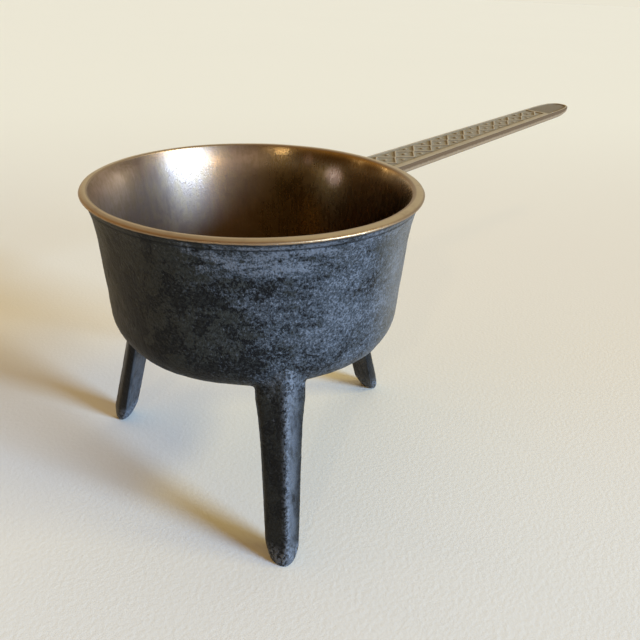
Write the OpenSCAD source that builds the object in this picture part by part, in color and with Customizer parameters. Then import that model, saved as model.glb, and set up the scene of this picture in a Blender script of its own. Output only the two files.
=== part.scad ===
// Three-legged cast bronze pot with one long flat handle.
// Millimetres, +Z up. The feet stand on z = 0, the handle runs along +X, and the origin is under
// the middle of the whole piece, so the bowl's axis stands at x = axis_x.

/* [Bowl] */
// Outer diameter of the rim
rim_d = 170; // [140:1:210]
// Height of the rim above the ground
height = 166; // [140:1:200]
// Outer height of the bowl, from the rim to the lowest point of its bottom
bowl_depth = 84.7; // [70:0.1:100]
// How far the lip stands out beyond the wall
lip_out = 5.15; // [2:0.05:8]
// Depth over which the lip's flare fades to about a third
lip_fade = 8.5; // [5:0.5:12]
// Lean of the wall from upright, in degrees
wall_lean = 3; // [0:0.5:8]
// Radius of the corner between wall and bottom
corner_r = 19.8; // [10:0.1:26]
// Radius of the bulge of the bottom
dish_r = 600; // [400:10:1200]
// Thickness of the wall
wall_t = 3.6; // [2.5:0.1:5]
// Width of the rim's top
rim_t = 4.8; // [3.5:0.1:7]
// Thickness of the bottom
floor_t = 4; // [3:0.1:6]
// How far the inside stands off the outside's axis, from the core's shift in the mould
core_shift = 0.9; // [0:0.1:1.2]
// Direction of that shift, in degrees from the handle
core_shift_angle = 146; // [0:1:359]
// Rounding of the rim's edges
edge_round = 0.8; // [0.4:0.1:1.2]

/* [Legs] */
// Direction of each leg from the handle, in degrees, set by eye as on a hand-made mould
handle_leg_angle = 2; // [-8:0.5:8]
// Direction of the leg to the left of someone who holds the handle
left_leg_angle = -118.75; // [-128:0.25:-112]
// Direction of the leg to the right
right_leg_angle = 124.25; // [112:0.25:128]
// How far the handle leg's middle lies in from the wall, at the height of the bowl's bottom
handle_leg_inset = 5.7; // [3:0.05:12]
// How far the left leg's middle lies in there
left_leg_inset = 5.25; // [3:0.05:12]
// How far the right leg's middle lies in there
right_leg_inset = 7.15; // [3:0.05:12]
// How far the handle leg's foot stands out beyond its root
handle_leg_splay = 27.5; // [10:0.5:40]
// How far the left leg's foot stands out
left_leg_splay = 20.5; // [10:0.5:40]
// How far the right leg's foot stands out
right_leg_splay = 22; // [10:0.5:40]
// How far the left leg leans sideways between the ground and the bowl's bottom
left_leg_lean = 1.7; // [0:0.1:4]
// Width of a leg at the foot
foot_w = 16.5; // [12:0.5:20]
// Width of a leg at the bowl, before its flare
root_w = 21; // [15:0.5:24]
// Depth of a leg at the foot, from flat back to ridge
foot_t = 13; // [8:0.5:15]
// Depth of a leg at the bowl
root_t = 11.5; // [9:0.5:18]
// Extra width where a leg meets the bowl
leg_flare = 3; // [0:0.5:8]
// Drop over which that flare fades to about a third
flare_fade = 12; // [6:1:20]
// Height of the rounding of the foot
foot_round = 5; // [2:0.5:7]
// Share of the foot's section that is left flat on the ground
foot_flat = 0.6; // [0.4:0.05:0.9]

/* [Handle] */
// Length of the handle beyond the rim
handle_len = 197.5; // [140:0.5:240]
// Width of the handle at the rim
handle_root_w = 29.5; // [22:0.5:36]
// Width of the handle where its rounded end begins
handle_end_w = 21; // [16:0.1:28]
// Thickness of the handle
handle_t = 5; // [3.5:0.1:7]
// Rise of the handle, in degrees
handle_rise = 5.25; // [0:0.25:10]
// Depth of the handle's top below the rim, where it leaves the rim
handle_drop = 3.8; // [2:0.1:6]
// Length of the rounded end
end_len = 22; // [12:1:30]
// Squareness of the rounded end, where 2 is half an ellipse
end_square = 2.6; // [2:0.1:4]
// Thickening under the handle's root
root_web = 7.5; // [3:0.5:12]
// Length of that thickening beyond the rim
root_web_len = 9; // [4:1:20]

/* [Handle relief] */
// Depth of the sunken panel
panel_depth = 0.8; // [0.4:0.1:1.5]
// Width of the raised border on the right of someone who holds the handle
border_w = 1.9; // [1:0.1:5]
// Width of the raised border on the left
left_border_w = 4.6; // [1:0.1:7]
// Length of the plain end, from the panel to the tip
plain_end = 33; // [24:1:50]
// Number of lozenges in the chain
lozenges = 10; // [6:1:14]
// Width of the raised lines of the ornament
line_w = 1.3; // [0.8:0.1:1.8]
// Half width of a lozenge, as a share of the panel's half width
lozenge_share = 0.82; // [0.6:0.02:0.96]
// Radius of the pellets between the lozenges
pellet_r = 1.15; // [0.7:0.05:1.4]
// Place of the outer pellets, as a share of the panel's half width
pellet_share = 0.62; // [0.5:0.02:0.8]

/* [Hidden] */
$fn = 96;
bronze = "#a98a5c";
dark_bronze = "#3a3d42";

rim_r = rim_d / 2;
axis_x = -handle_len / 2;
lean = tan(wall_lean);
wall_r = rim_r - lip_out;
lip_in = lip_out - (rim_t - wall_t);
bottom_z = height - bowl_depth;
// A leg's blank runs up this far inside the bowl's outline, and the handle's blank runs in this
// far under the rim, before they are cut to the bowl.
leg_in = 2.4 * corner_r;
handle_in = 2 * (lip_out + rim_t);
core_at = core_shift * [cos(core_shift_angle), sin(core_shift_angle), 0];

// The corner's arc touches the wall's line and the bottom's arc, all in [radius, depth below the rim].
function corner_centre(wall, corner, depth, dish) =
    let (
        start = wall - corner * sqrt(1 + lean * lean),
        rise = dish - depth,
        reach = dish - corner,
        a = 1 + lean * lean,
        b = 2 * (start * lean - rise),
        c = start * start + rise * rise - reach * reach,
        z = (-b - sqrt(b * b - 4 * a * c)) / (2 * a)
    )
    [start + lean * z, z];

// Outline from the rim down to the axis: leaning wall plus a flare that fades with depth, then the
// corner's arc and the bottom's arc.
function pot_outline(wall, lip, corner, depth, dish) =
    let (
        centre = corner_centre(wall, corner, depth, dish),
        low = centre[1] - corner * sin(wall_lean),
        join = asin(centre[0] / (dish - corner)),
        steps = 14
    )
    concat(
        [for (i = [0 : steps])
            let (z = low * pow(i / steps, 1.6))
            [wall + lean * z + lip * exp(z / lip_fade), z]],
        [for (i = [1 : 8])
            let (t = wall_lean + (90 - join - wall_lean) * i / 8)
            centre + corner * [cos(t), -sin(t)]],
        [for (i = [5 : -1 : 0])
            let (t = join * i / 6)
            [dish * sin(t), dish - depth - dish * cos(t)]]
    );

// The outside of the bowl as one solid, with the rim's outer edge rounded. The legs and the
// handle are cut to it, so that they meet the bowl face to face.
module bowl_form() {
    outline = pot_outline(wall_r, lip_out, corner_r, bowl_depth, dish_r);
    edge = [for (t = [90 : -30 : 0])
        [rim_r - edge_round, -edge_round] + edge_round * [cos(t), sin(t)]];
    rotate_extrude()
        translate([0, height])
            polygon(concat([[0, 0]], edge, [for (p = outline) if (p[1] < -edge_round) p]));
}

// The space inside the bowl, with the rim's inner edge rounded over.
module bowl_space() {
    outline = pot_outline(
        wall_r - wall_t, lip_in, corner_r - wall_t, bowl_depth - floor_t, dish_r - floor_t);
    mouth = rim_r - rim_t;
    edge = [for (t = [90 : 30 : 180])
        [mouth + edge_round, -edge_round] + edge_round * [cos(t), sin(t)]];
    translate(core_at)
        rotate_extrude()
            translate([0, height])
                polygon(concat(
                    [[0, 1], [mouth + edge_round, 1]],
                    edge,
                    [for (p = outline) if (p[1] < -edge_round) p]));
}

module bowl() {
    color(bronze)
        translate([axis_x, 0, 0])
            difference() {
                bowl_form();
                bowl_space();
            }
}

// Rings of points joined into one closed solid.
module loft(rings) {
    n = len(rings[0]);
    last = len(rings) - 1;
    sides = [for (j = [0 : last - 1], i = [0 : n - 1])
        let (a = j * n + i, b = j * n + (i + 1) % n)
        each [[a, a + n, b], [b, a + n, b + n]]];
    polyhedron(
        points = [for (ring = rings) each ring],
        faces = concat([[for (i = [0 : n - 1]) i]], sides, [[for (i = [n - 1 : -1 : 0]) last * n + i]]));
}

// Section of a leg, in shares of its depth and width: a ridge outside, two shoulders and a flat back.
LEG_SECTION = [
    [0.46, 0.1], [0, 0.44], [-0.12, 0.48], [-0.44, 0.5], [-0.5, 0.45],
    [-0.5, -0.45], [-0.44, -0.5], [-0.12, -0.48], [0, -0.44], [0.46, -0.1], [0.5, 0]];

// One ring of a leg at height z, with x away from the bowl's axis. Under foot_round the section
// draws in along an ellipse, and above the bowl's bottom it keeps its size.
function leg_ring(z, inset, splay, side_lean) =
    let (
        share = z / bottom_z,
        size = min(share, 1),
        flare = leg_flare * exp(min(z - bottom_z, 0) / flare_fade),
        low = min(z / foot_round, 1),
        draw = foot_flat + (1 - foot_flat) * sqrt(1 - (1 - low) * (1 - low)),
        w = draw * (foot_w + (root_w - foot_w) * size + flare),
        t = draw * (foot_t + (root_t - foot_t) * size + flare / 2),
        middle = [wall_r - inset + splay * (1 - share), side_lean * share]
    )
    [for (p = LEG_SECTION) [middle[0] + p[0] * t, middle[1] + p[1] * w, z]];

module leg(angle, inset, splay, side_lean = 0) {
    top = bottom_z + leg_in;
    heights = concat(
        [for (i = [0 : 4]) foot_round * (1 - cos(90 * i / 4))],
        [for (i = [1 : 8]) foot_round + (top - foot_round) * pow(i / 8, 0.8)]);
    color(dark_bronze)
        translate([axis_x, 0, 0])
            difference() {
                rotate(angle)
                    loft([for (z = heights) leg_ring(z, inset, splay, side_lean)]);
                bowl_form();
            }
}

module handle_leg() {
    leg(handle_leg_angle, handle_leg_inset, handle_leg_splay);
}

module left_leg() {
    leg(left_leg_angle, left_leg_inset, left_leg_splay, left_leg_lean);
}

module right_leg() {
    leg(right_leg_angle, right_leg_inset, right_leg_splay);
}

// Half width of the handle at a distance from the rim.
end_x = handle_len / cos(handle_rise);
round_x = end_x - end_len;
function half_w(x) = (handle_root_w + (handle_end_w - handle_root_w) * x / round_x) / 2;

// Outline of the handle's top: straight tapering sides, then half a squared ellipse.
function handle_outline() =
    let (blunt = 2 / end_square, half = half_w(round_x), steps = 14)
    concat(
        [[-handle_in, -half_w(-handle_in)]],
        [for (i = [-steps : steps])
            let (turn = 90 * i / steps)
            [round_x + end_len * pow(cos(turn), blunt), sign(turn) * half * pow(abs(sin(turn)), blunt)]],
        [[-handle_in, half_w(-handle_in)]]);

// The panel is the strip between the borders, from just outside the rim to the plain end. Its
// middle line lies off the handle's, since the left border is the wider one.
panel_start = 3;
panel_end = end_x - plain_end;
pitch = (panel_end - panel_start) / lozenges;
panel_mid = (left_border_w - border_w) / 2;
function panel_half(x) = half_w(x) - (left_border_w + border_w) / 2;

module panel() {
    polygon([
        [panel_start, panel_half(panel_start)], [panel_end, panel_half(panel_end)],
        [panel_end, -panel_half(panel_end)], [panel_start, -panel_half(panel_start)]]);
}

module lozenge(x, long, wide) {
    polygon([[x - long, 0], [x, wide], [x + long, 0], [x, -wide]]);
}

// One step of the ornament: an open lozenge with a pellet in it, and two pellets before it. The
// lozenges run into each other by a line's width.
module ornament_step(i) {
    x = panel_start + pitch * (i + 0.5);
    before = x - pitch / 2;
    long = (pitch + line_w) / 2;
    wide = panel_half(x) * lozenge_share;
    inner = 1 - line_w * norm([long, wide]) / (long * wide);
    difference() {
        lozenge(x, long, wide);
        lozenge(x, long * inner, wide * inner);
    }
    translate([x, 0])
        circle(r = pellet_r, $fn = 24);
    for (side = [-1, 1])
        translate([before, side * panel_half(before) * pellet_share])
            circle(r = pellet_r, $fn = 24);
}

module ornament() {
    intersection() {
        panel();
        for (i = [0 : lozenges - 1])
            ornament_step(i);
    }
}

// Side view of the handle: even thickness, with a web under its root.
module handle_side() {
    polygon([
        [-handle_in, 0], [end_x + 1, 0], [end_x + 1, -handle_t], [root_web_len, -handle_t],
        [0, -root_web], [-handle_in, -root_web]]);
}

module handle() {
    color(bronze)
        translate([axis_x, 0, 0])
            difference() {
                translate([rim_r, 0, height - handle_drop])
                    rotate([0, -handle_rise, 0])
                        difference() {
                            intersection() {
                                translate([0, 0, -root_web])
                                    linear_extrude(root_web)
                                        polygon(handle_outline());
                                rotate([90, 0, 0])
                                    linear_extrude(2 * handle_root_w, center = true)
                                        handle_side();
                            }
                            translate([0, panel_mid, -panel_depth])
                                linear_extrude(panel_depth + 1)
                                    difference() {
                                        panel();
                                        ornament();
                                    }
                        }
                bowl_form();
            }
}

bowl();
handle();
handle_leg();
left_leg();
right_leg();
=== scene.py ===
"""Three-legged bronze pot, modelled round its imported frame.

The frame gives the bowl's axis, rim, height and bottom, and the handle's tip. Each piece is a
surface worked out from formulas on a grid, in metres, and stands where its solid stands.
"""

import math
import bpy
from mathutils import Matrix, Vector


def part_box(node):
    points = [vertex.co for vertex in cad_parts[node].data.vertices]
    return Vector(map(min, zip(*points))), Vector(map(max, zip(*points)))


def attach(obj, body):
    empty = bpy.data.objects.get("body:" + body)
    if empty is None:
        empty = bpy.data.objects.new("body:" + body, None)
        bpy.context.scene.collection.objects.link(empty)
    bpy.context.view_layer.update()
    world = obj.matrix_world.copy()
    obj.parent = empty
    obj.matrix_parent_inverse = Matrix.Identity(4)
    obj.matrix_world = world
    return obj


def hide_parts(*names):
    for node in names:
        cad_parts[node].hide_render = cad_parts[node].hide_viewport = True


bl_info = {
    "name": "Three-legged Bronze Pot",
    "version": (1, 0, 0),
    "blender": (4, 5, 0),
    "location": "3D View > Sidebar > Pot",
    "description": "Makes a cast bronze cooking pot with three legs and a flat handle, and its stage",
    "category": "Add Mesh",
}

import bpy
import numpy as np
from bpy.props import FloatProperty, FloatVectorProperty, IntProperty, PointerProperty
from bpy.types import Operator, Panel, PropertyGroup
from mathutils import Matrix

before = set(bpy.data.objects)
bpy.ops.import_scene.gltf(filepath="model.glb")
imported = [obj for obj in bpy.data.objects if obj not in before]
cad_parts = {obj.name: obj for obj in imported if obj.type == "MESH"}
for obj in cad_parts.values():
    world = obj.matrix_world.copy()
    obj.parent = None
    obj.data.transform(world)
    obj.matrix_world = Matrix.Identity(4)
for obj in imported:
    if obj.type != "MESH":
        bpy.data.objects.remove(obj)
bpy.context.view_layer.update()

MM = 0.001
BOWL_LOW, BOWL_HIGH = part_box("bowl")
HANDLE_LOW, HANDLE_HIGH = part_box("handle")
AXIS_X = (BOWL_LOW.x + BOWL_HIGH.x) / 2
RIM_R = (BOWL_HIGH.y - BOWL_LOW.y) / 2
RIM_Z = BOWL_HIGH.z
BOTTOM_Z = BOWL_LOW.z
HANDLE_REACH = HANDLE_HIGH.x - AXIS_X - RIM_R


# Sizes and colours that a user would change

def length(name, mm, text):
    """A size in metres, with its default given in millimetres."""
    return FloatProperty(
        name=name, description=text, default=mm * MM, min=0.0, subtype="DISTANCE", unit="LENGTH")


def angle(name, degrees, text):
    """An angle in radians, with its default given in degrees."""
    return FloatProperty(
        name=name, description=text, default=math.radians(degrees), subtype="ANGLE", unit="ROTATION")


def share(name, value, text):
    """A share between 0 and 1."""
    return FloatProperty(
        name=name, description=text, default=value, min=0.0, max=1.0, subtype="FACTOR")


def number(name, value, text):
    """A plain number."""
    return FloatProperty(name=name, description=text, default=value)


def colour(name, red, green, blue, text):
    """A linear colour."""
    return FloatVectorProperty(
        name=name, description=text, default=(red, green, blue), min=0.0, max=1.0, size=3,
        subtype="COLOR")


class PotBowlSizes(PropertyGroup):
    """Sizes of the bowl."""

    lip_out: length("Lip", 5.15, "How far the lip stands out beyond the wall")
    lip_fade: length("Lip Fade", 8.5, "Depth over which the lip's flare fades to about a third")
    wall_lean: angle("Wall Lean", 3, "Lean of the wall from upright")
    corner_r: length("Corner Radius", 19.8, "Radius of the corner between wall and bottom")
    dish_r: length("Dish Radius", 600, "Radius of the bulge of the bottom")
    wall_t: length("Wall Thickness", 3.6, "Thickness of the wall")
    rim_t: length("Rim Width", 4.8, "Width of the rim's top")
    floor_t: length("Floor Thickness", 4, "Thickness of the bottom")
    core_shift: length("Core Shift", 0.9, "How far the inside stands off the outside's axis")
    core_turn: angle("Core Shift Direction", 146, "Direction of that shift from the handle")
    bead_w: length("Rim Bead Width", 3.0, "How far the rim's outer edge is rounded over its top")
    bead_h: length("Rim Bead Height", 1.3, "How far the rounding goes down")
    edge_round: length("Inner Edge Rounding", 1.2, "Rounding of the rim's inner edge")
    groove_drop: length("Groove Drop", 5.4, "Depth of the turned line below the rim")
    groove_depth: length("Groove Depth", 0.28, "Depth of the turned line")
    cast_lumps: length("Cast Lumps", 0.17, "Height of the wide lumps of the cast skin")
    cast_grit: length("Cast Grit", 0.075, "Height of the small lumps of the cast skin")


class PotLegSizes(PropertyGroup):
    """Sizes of the three legs."""

    foot_w: length("Foot Width", 16.5, "Width of a leg at the foot")
    root_w: length("Root Width", 21, "Width of a leg at the bowl, before its flare")
    foot_t: length("Foot Depth", 13, "Depth of a leg at the foot, from flat back to ridge")
    root_t: length("Root Depth", 11.5, "Depth of a leg at the bowl")
    flare: length("Flare", 3, "Extra width where a leg meets the bowl")
    flare_fade: length("Flare Fade", 12, "Drop over which that flare fades to about a third")
    foot_round: length("Foot Rounding", 5, "Height of the rounding of the foot")
    foot_flat: share("Foot Flat", 0.6, "Share of the foot's section that is flat on the ground")
    fillet: length("Fillet", 1.9, "Radius of the fillet between a leg and the bowl")


class PotHandleSizes(PropertyGroup):
    """Sizes of the handle and its relief."""

    root_w: length("Root Width", 29.5, "Width of the handle at the rim")
    end_w: length("End Width", 21, "Width of the handle where its rounded end begins")
    thick: length("Thickness", 5, "Thickness of the handle")
    rise: angle("Rise", 5.25, "Rise of the handle")
    drop: length("Drop", 3.8, "Depth of the handle's top below the rim")
    end_len: length("End Length", 22, "Length of the rounded end")
    end_square: number("End Squareness", 2.6, "Squareness of the rounded end, 2 for half an ellipse")
    web: length("Root Web", 7.5, "Thickening under the handle's root")
    web_len: length("Root Web Length", 9, "Length of that thickening beyond the rim")
    top_round: length("Top Rounding", 0.9, "Rounding of the top's edges")
    under_round: length("Under Rounding", 1.7, "Rounding of the underside's edges")
    fillet: length("Fillet", 1.2, "Radius of the fillet between handle and bowl")
    panel_depth: length("Panel Depth", 0.6, "Depth of the sunken panel")
    border_w: length("Border Width", 1.9, "Width of the raised border on the holder's right")
    left_border_w: length("Left Border Width", 4.6, "Width of the raised border on the left")
    panel_start: length("Panel Start", 3, "Distance of the panel from the rim")
    plain_end: length("Plain End", 33, "Length of the plain end, from the panel to the tip")
    dish_depth: length("Dish Depth", 0.5, "Depth of the shallow dish in the plain end")
    lozenges: IntProperty(name="Lozenges", description="Number of lozenges", default=10, min=1)
    line_w: length("Line Width", 1.5, "Width of the raised lines of the ornament")
    lozenge_share: share("Lozenge Share", 0.82, "Half width of a lozenge in the panel")
    pellet_r: length("Pellet Radius", 1.25, "Radius of the pellets")
    pellet_share: share("Pellet Share", 0.62, "Place of the outer pellets in the panel")


class PotFinish(PropertyGroup):
    """Colours of the bronze and of its dark skin, some of them also laid on as painted light and shade."""

    # Soot and shade: ground of the dark skin, also laid on as painted shade under the rim and low on the side
    # away from the window.
    soot_and_shade: colour("Soot", 0.0055, 0.0055, 0.0055, "Ground of the dark skin outside")
    flake: colour("Flakes", 0.031, 0.031, 0.025, "Thin olive grey flakes on that ground")
    slate: colour("Slate", 0.041, 0.045, 0.048, "Grey that covers the ground")
    # Bloom and sheen: pale bloom on the grey, also laid on the legs as painted sheen and highlight.
    bloom_and_sheen: colour("Bloom", 0.130, 0.135, 0.144, "Pale bloom on the grey")
    # Side sheen: a drab colour laid on as painted reflection along the wall's two sides.
    side_sheen: colour("Dust", 0.16, 0.13, 0.09, "Drab dust at the sides")
    inside: colour("Inside Bronze", 0.50, 0.37, 0.23, "Polished bronze inside, near the rim")
    # Mottle and deep shade: darker bronze for the brushed mottle, and painted shade deep inside.
    mottle_and_deep_shade: colour("Burnt Bronze", 0.25, 0.165, 0.070, "Bronze darkened by cooking, deep inside")
    # Pits and dark reflection: colour of the small pits, and of a painted dark reflection beside the handle.
    pits_and_dark_reflection: colour("Tarnish", 0.050, 0.027, 0.011, "Dark tarnish inside, beside the handle")
    # Film and reflections: a greyish film, also used for two painted reflection spots.
    film_and_reflections: colour("Grey Film", 0.345, 0.236, 0.180, "Greyish film on part of the inside")
    rim: colour("Rim Bronze", 0.50, 0.375, 0.215, "Worn bronze of the rim")
    # Rim edge colour, also laid on the front of the rim as painted shade.
    edge: colour("Rim Edge", 0.31, 0.205, 0.115, "Browner bronze at the rim's edges")
    handle: colour("Handle Bronze", 0.44, 0.350, 0.220, "Drab bronze of the handle")
    recess: colour("Handle Recess", 0.31, 0.260, 0.175, "Darker ground of the relief")
    # Flank and shade: browner bronze of the handle's sides, also used as painted shade on the relief's slopes
    # and the top's edge.
    flank_and_shade: colour("Handle Flank", 0.098, 0.052, 0.020, "Browner bronze of the handle's sides")
    # Floor reflection: a paler colour low on the handle's sides, a painted reflection of the floor.
    floor_reflection: colour("Handle Belly", 0.225, 0.145, 0.075, "Paler bronze at the handle's underside")


class PotStageSizes(PropertyGroup):
    """Floor, lights and camera."""

    # Floor tones: the differences between them are painted light.
    floor: colour("Floor", 0.785, 0.738, 0.650, "Pale floor in front of the pot")
    mid_floor: colour("Middle Floor", 0.775, 0.690, 0.545, "Pale floor beside and behind the pot")
    far_floor: colour("Far Floor", 0.88, 0.812, 0.645, "Pale floor far behind the pot")
    horizon: colour("Horizon", 0.832, 0.791, 0.658, "Pale backdrop beyond the far floor")
    near_horizon: colour("Near Horizon", 0.755, 0.725, 0.658, "Pale backdrop on the other side")
    floor_r: length("Floor Radius", 14000, "Radius of the flat floor")
    camera_out: length("Camera Distance", 321.8, "Distance of the camera from the bowl's axis")
    camera_z: length("Camera Height", 256.95, "Height of the camera")
    camera_turn: angle("Camera Direction", -125.6, "Direction of the camera from the bowl's axis")
    camera_pitch: angle("Camera Pitch", 27.85, "How far the camera looks down")
    camera_yaw: angle("Camera Yaw", 6.27, "How far the camera looks right of the bowl's axis")
    camera_roll: angle("Camera Roll", 2.23, "How far the camera is turned about its view")
    lens: number("Lens", 36.28, "Focal length in millimetres on a sensor 36 mm wide")
    window_power: number("Window Power", 8.7, "Strength of the low cool window")
    lamp_power: number("Lamp Power", 1.05, "Strength of the warm lamps, all together")
    near_power: number("Near Glow Power", 0.38, "Strength of the low warm light beside the window")
    room_power: number("Room Glow Power", 0.20, "Strength of the wide low glow behind the camera")
    sky_low: colour("Low Sky", 0.07, 0.04, 0.015, "Dim side of the ceiling")
    sky_warm: colour("Warm Sky", 0.50, 0.28, 0.06, "Warm side of the ceiling")
    sky_bright: colour("Bright Sky", 0.70, 0.66, 0.54, "Bright patch of the ceiling")



# Geometry tools

def smooth(low, high, value):
    """0 below low and 1 above high, with the cubic 3 t^2 - 2 t^3 between."""
    t = np.clip((value - low) / (high - low), 0, 1)
    return t * t * (3 - 2 * t)


def ripple(points, size, seed, waves=26):
    """A smooth random height, mostly between -1 and 1, at each point.

    It is a sum of sine waves in random directions, with lengths between about half of size and
    half as much again, divided by the root of their number.
    """
    rng = np.random.default_rng(seed)
    direction = rng.normal(size=(waves, 3))
    direction /= np.linalg.norm(direction, axis=1, keepdims=True)
    pace = 2 * np.pi / (size * rng.uniform(0.55, 1.5, waves))
    phase = rng.uniform(0, 2 * np.pi, waves)
    turns = points @ (direction * pace[:, None]).T + phase
    return np.sin(turns).sum(-1) / math.sqrt(waves)


def spaced(outline, shares):
    """Points at these shares of the length of an outline."""
    step = np.linalg.norm(np.diff(outline, axis=0), axis=1)
    reach = np.concatenate([[0], np.cumsum(step)])
    at = np.asarray(shares) * reach[-1]
    return np.stack([np.interp(at, reach, outline[:, 0]), np.interp(at, reach, outline[:, 1])], -1)


def ring_normals(grid):
    """Unit normals of a grid whose columns close into rings: tangent round it times tangent along it."""
    around = np.roll(grid, -1, 1) - np.roll(grid, 1, 1)
    along = np.gradient(grid, axis=0)
    normal = np.cross(around, along)
    return normal / np.maximum(np.linalg.norm(normal, axis=-1, keepdims=True), 1e-12)


def piece_from_rings(name, grid, first_pole, last_pole, marks, materials):
    """An object from a grid of rings, closed at both ends by a pole.

    Quads join each ring to the next, and triangles join the end rings to their poles. marks holds
    a number for each grid point under an attribute's name.
    """
    rows, columns = grid.shape[:2]
    index = np.arange(rows * columns).reshape(rows, columns)
    right = np.roll(index, -1, axis=1)
    first = np.full(columns, rows * columns)
    quads = np.stack([index[:-1], right[:-1], right[1:], index[1:]], -1).reshape(-1, 4)
    fans = np.concatenate([
        np.stack([first, right[0], index[0]], -1),
        np.stack([first + 1, index[-1], right[-1]], -1)])
    points = np.concatenate([grid.reshape(-1, 3), [first_pole], [last_pole]])
    corners = np.concatenate([quads.ravel(), fans.ravel()])
    sides = np.concatenate([np.full(len(quads), 4), np.full(len(fans), 3)])
    starts = np.concatenate([[0], np.cumsum(sides)[:-1]])
    mesh = bpy.data.meshes.new(name)
    mesh.vertices.add(len(points))
    mesh.vertices.foreach_set("co", points.astype(np.float32).ravel())
    mesh.loops.add(len(corners))
    mesh.loops.foreach_set("vertex_index", corners.astype(np.int32))
    mesh.polygons.add(len(sides))
    mesh.polygons.foreach_set("loop_start", starts.astype(np.int32))
    for mark, values in marks.items():
        filled = np.concatenate([values.ravel(), [values[0].mean(), values[-1].mean()]])
        mesh.attributes.new(mark, "FLOAT", "POINT").data.foreach_set("value", filled.astype(np.float32))
    for material in materials:
        mesh.materials.append(material)
    mesh.update(calc_edges=True)
    if mesh.validate():
        raise RuntimeError(f"{name} has faces that don't join up")
    mesh.shade_smooth()
    piece = bpy.data.objects.new(name, mesh)
    bpy.context.scene.collection.objects.link(piece)
    return piece


def declare(piece, node):
    """The piece stands for a solid of the frame, which is hidden, and rides on its body."""
    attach(piece, "root")
    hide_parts(node)


# Bowl

def bowl_outline(bowl, inside):
    """Outline of the bowl from the rim down to the axis, in rows of radius and height over the rim.

    The wall's radius is wall + lean * height + lip * exp(height / fade). The corner is an arc that
    touches the wall's line and the bottom's arc, so its centre lies one corner radius inside both:
    on the line start + lean * height and on a circle about the bottom's own centre.
    """
    lean = math.tan(bowl.wall_lean)
    wall = RIM_R - bowl.lip_out - inside * bowl.wall_t
    lip = bowl.lip_out - inside * (bowl.rim_t - bowl.wall_t)
    corner = bowl.corner_r - inside * bowl.wall_t
    depth = RIM_Z - BOTTOM_Z - inside * bowl.floor_t
    dish = bowl.dish_r - inside * bowl.floor_t
    start = wall - corner * math.hypot(1, lean)
    rise = dish - depth
    a = 1 + lean ** 2
    b = 2 * (start * lean - rise)
    c = start ** 2 + rise ** 2 - (dish - corner) ** 2
    centre_z = (-b - math.sqrt(b * b - 4 * a * c)) / (2 * a)
    centre_r = start + lean * centre_z
    low = centre_z - corner * math.sin(bowl.wall_lean)
    join = math.asin(centre_r / (dish - corner))
    z = low * np.linspace(0, 1, 260) ** 1.6
    turn = np.linspace(bowl.wall_lean, math.pi / 2 - join, 80)[1:]
    swing = np.linspace(join, 0, 100)[1:]
    return np.concatenate([
        np.stack([wall + lean * z + lip * np.exp(z / bowl.lip_fade), z], -1),
        np.stack([centre_r + corner * np.cos(turn), centre_z - corner * np.sin(turn)], -1),
        np.stack([dish * np.sin(swing), rise - dish * np.cos(swing)], -1)])


def bowl_profile(bowl):
    """Rows of radius and height from the pole under the bowl, over the rim, to the pole inside.

    The rim's outer edge is a quarter of an ellipse and a bit more, its top is flat, and its inner
    edge is an arc that touches the flared inside. Also returns each row's distance along the skin
    from the rim's outer corner, negative outside, and the numbers of the rows on the rim.
    """
    outer = bowl_outline(bowl, 0)
    inner = bowl_outline(bowl, 1)
    turn = np.radians(np.linspace(-40, 90, 10))
    bead = np.stack([
        RIM_R + bowl.bead_w * (np.cos(turn) - 1), bowl.bead_h * (np.sin(turn) - 1)], -1)
    slope = (bowl.lip_out - bowl.rim_t + bowl.wall_t) / bowl.lip_fade
    edge = bowl.edge_round
    turn = np.linspace(math.pi / 2, math.pi - math.atan(slope), 6)
    mouth = RIM_R - bowl.rim_t + edge * (math.hypot(1, slope) - slope)
    lip = np.stack([mouth + edge * np.cos(turn), edge * (np.sin(turn) - 1)], -1)
    flat = np.linspace(bead[-1], lip[0], 6)[1:-1]
    t = np.linspace(1, 0, 86)
    outside = spaced(outer[outer[:, 1] < -2.7 * MM], 0.25 * t + 0.75 * t * t)[1:]
    t = np.linspace(0, 1, 68)
    within = spaced(inner[inner[:, 1] < -1.0 * MM], 0.4 * t + 0.6 * t * t)[:-1]
    profile = np.concatenate([outside, bead, flat, lip, within])
    step = np.linalg.norm(np.diff(profile, axis=0), axis=1)
    along = np.concatenate([[0], np.cumsum(step)])
    along -= along[len(outside) + 4]
    rim_rows = slice(len(outside), len(outside) + len(bead) + len(flat) + len(lip))
    return profile, along, rim_rows


def cast_height(bowl, points):
    """Height of the rough cast skin outside: wide lumps, grit, and a few small pits."""
    grit = ripple(points, 9 * MM, 12)
    pits = smooth(1.25, 2.1, ripple(points, 5 * MM, 13))
    height = bowl.cast_lumps * ripple(points, 38 * MM, 11) + bowl.cast_grit * grit
    return height - 0.22 * MM * pits


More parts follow.
